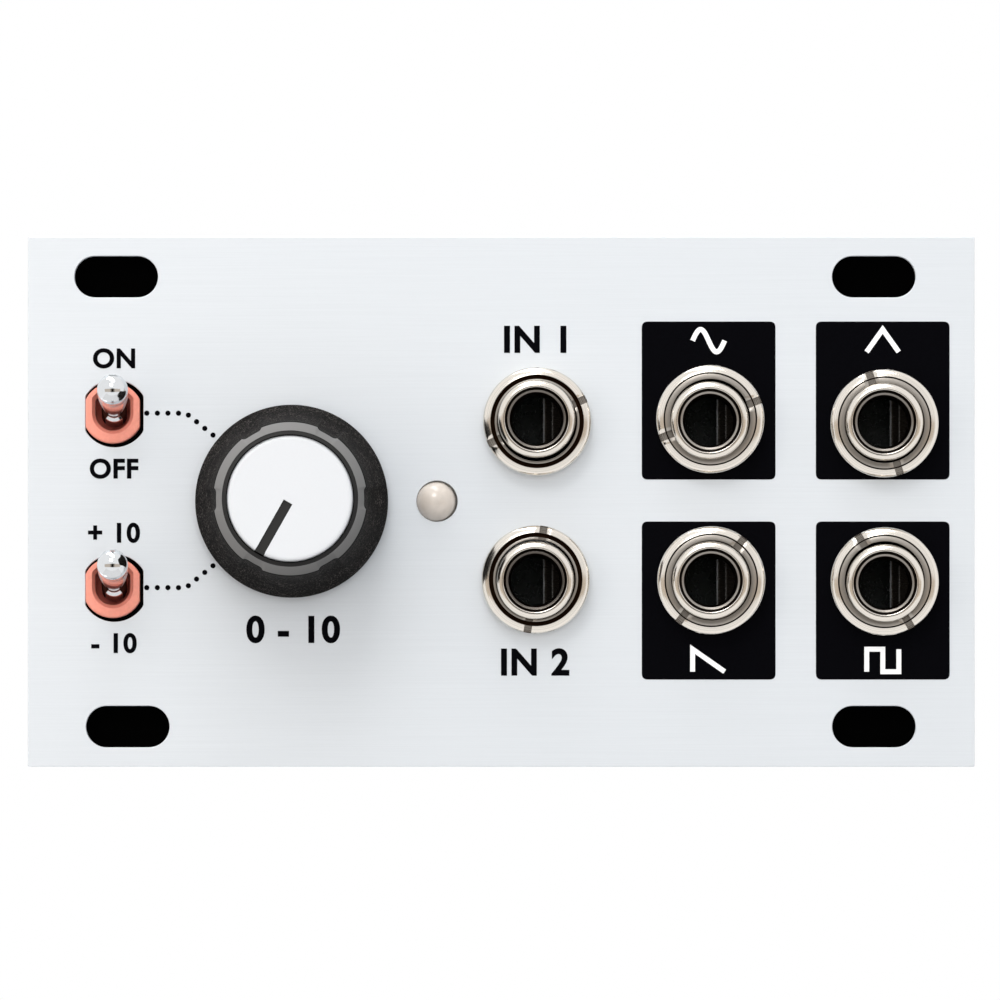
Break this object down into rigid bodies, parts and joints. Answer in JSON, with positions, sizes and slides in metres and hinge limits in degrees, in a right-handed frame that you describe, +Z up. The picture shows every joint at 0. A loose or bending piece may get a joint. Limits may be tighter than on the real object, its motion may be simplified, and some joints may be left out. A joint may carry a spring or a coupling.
{
  "type": "eurorack module",
  "caption": "Small horizontal synthesiser panel with a pointer knob, toggle switches, an indicator lamp and threaded 3.5 mm sockets, with stacked circuit boards behind it.",
  "frame": {"origin": "on the rear face of the panel, midway across it, level with the centres of the lower screw slots", "axes": "+X to the right and +Z up as the player sees it; the front of the panel faces -Y, and the boards are behind it at +Y"},
  "size_m": [0.0708, 0.0503, 0.0396],
  "materials": {
    "panel_aluminium": "fine horizontal brushing, clear anodised, with black silk-screened legends",
    "soft_touch_black": "soft-touch lacquer, fine speckle, very matte",
    "white_cap": "smooth moulded white plastic, satin",
    "nickel_plate": "turned brass, bright nickel plate, warm",
    "pot_metal": "zinc-plated steel and nickel-plated brass",
    "chrome_lever": "bright chrome plate on brass",
    "spring_bronze": "tinned phosphor bronze strip",
    "tinned_lead": "tin-plated pin",
    "moulded_black": "glass-filled black moulding",
    "salmon_moulding": "salmon-pink moulded resin, satin",
    "clear_resin": "water-clear epoxy lens, faint warm cast",
    "circuit_board": "glass-epoxy laminate with black solder mask",
    "can_aluminium": "plain drawn can",
    "trimmer_blue": "blue moulded case"
  },
  "bodies": {
    "chassis": {"panel": "panel_aluminium", "pot_bushing": "pot_metal", "pot_nut": "pot_metal", "pot_washer": "pot_metal", "pot_body": "moulded_black", "led_lens": "clear_resin", "led_anode_lead": "tinned_lead", "led_cathode_lead": "tinned_lead", "front_board": "circuit_board", "rear_board": "circuit_board", "link_header_left": "moulded_black", "link_header_right": "moulded_black", "link_socket_left": "moulded_black", "link_socket_right": "moulded_black", "power_header": "moulded_black", "chip_1": "moulded_black", "chip_2": "moulded_black", "capacitor": "can_aluminium", "trimmer_body": "trimmer_blue", "jack_1_housing": "moulded_black", "jack_1_bushing": "nickel_plate", "jack_1_nut": "nickel_plate", "jack_1_ground_pin": "tinned_lead", "jack_2_housing": "moulded_black", "jack_2_bushing": "nickel_plate", "jack_2_nut": "nickel_plate", "jack_2_ground_pin": "tinned_lead", "jack_3_housing": "moulded_black", "jack_3_bushing": "nickel_plate", "jack_3_nut": "nickel_plate", "jack_3_ground_pin": "tinned_lead", "jack_4_housing": "moulded_black", "jack_4_bushing": "nickel_plate", "jack_4_nut": "nickel_plate", "jack_4_ground_pin": "tinned_lead", "jack_5_housing": "moulded_black", "jack_5_bushing": "nickel_plate", "jack_5_nut": "nickel_plate", "jack_5_ground_pin": "tinned_lead", "jack_6_housing": "moulded_black", "jack_6_bushing": "nickel_plate", "jack_6_nut": "nickel_plate", "jack_6_ground_pin": "tinned_lead", "switch_upper_housing": "salmon_moulding", "switch_upper_base": "moulded_black", "switch_lower_housing": "salmon_moulding", "switch_lower_base": "moulded_black"},
    "knob": {"knob_body": "soft_touch_black", "knob_cap": "white_cap", "pot_shaft": "pot_metal"},
    "trimmer": {"trimmer_rotor": "white_cap"},
    "jack_1_spring": {"jack_1_tip_spring": "spring_bronze"},
    "jack_2_spring": {"jack_2_tip_spring": "spring_bronze"},
    "jack_3_spring": {"jack_3_tip_spring": "spring_bronze"},
    "jack_4_spring": {"jack_4_tip_spring": "spring_bronze"},
    "jack_5_spring": {"jack_5_tip_spring": "spring_bronze"},
    "jack_6_spring": {"jack_6_tip_spring": "spring_bronze"},
    "switch_upper_lever": {"switch_upper_bat": "chrome_lever"},
    "switch_lower_lever": {"switch_lower_bat": "chrome_lever"}
  },
  "joints": [
    {"name": "knob_turn", "type": "hinge", "parent": "chassis", "child": "knob", "pos_m": [-0.01566, 0, 0.01682], "axis": [0, 1, 0], "range_deg": [0, 300]},
    {"name": "switch_upper_tilt", "type": "hinge", "parent": "chassis", "child": "switch_upper_lever", "pos_m": [-0.02896, -0.0004, 0.02344], "axis": [1, 0, 0], "range_deg": [0, 25]},
    {"name": "switch_lower_tilt", "type": "hinge", "parent": "chassis", "child": "switch_lower_lever", "pos_m": [-0.02896, -0.0004, 0.01039], "axis": [1, 0, 0], "range_deg": [0, 25]},
    {"name": "jack_1_spring_flex", "type": "hinge", "parent": "chassis", "child": "jack_1_spring", "pos_m": [0.00592, 0.0091, 0.02286], "axis": [0, 0, 1], "range_deg": [0, 10], "stiffness_Nm_per_rad": 0.02},
    {"name": "jack_2_spring_flex", "type": "hinge", "parent": "chassis", "child": "jack_2_spring", "pos_m": [0.01894, 0.0091, 0.02286], "axis": [0, 0, 1], "range_deg": [0, 10], "stiffness_Nm_per_rad": 0.02},
    {"name": "jack_3_spring_flex", "type": "hinge", "parent": "chassis", "child": "jack_3_spring", "pos_m": [0.03195, 0.0091, 0.02286], "axis": [0, 0, 1], "range_deg": [0, 10], "stiffness_Nm_per_rad": 0.02},
    {"name": "jack_4_spring_flex", "type": "hinge", "parent": "chassis", "child": "jack_4_spring", "pos_m": [0.00592, 0.0091, 0.01078], "axis": [0, 0, 1], "range_deg": [0, 10], "stiffness_Nm_per_rad": 0.02},
    {"name": "jack_5_spring_flex", "type": "hinge", "parent": "chassis", "child": "jack_5_spring", "pos_m": [0.01894, 0.0091, 0.01078], "axis": [0, 0, 1], "range_deg": [0, 10], "stiffness_Nm_per_rad": 0.02},
    {"name": "jack_6_spring_flex", "type": "hinge", "parent": "chassis", "child": "jack_6_spring", "pos_m": [0.03195, 0.0091, 0.01078], "axis": [0, 0, 1], "range_deg": [0, 10], "stiffness_Nm_per_rad": 0.02},
    {"name": "trimmer_turn", "type": "hinge", "parent": "chassis", "child": "trimmer", "pos_m": [-0.0289, 0.0291, 0.01682], "axis": [0, 1, 0], "range_deg": [-130, 130]}
  ]
}
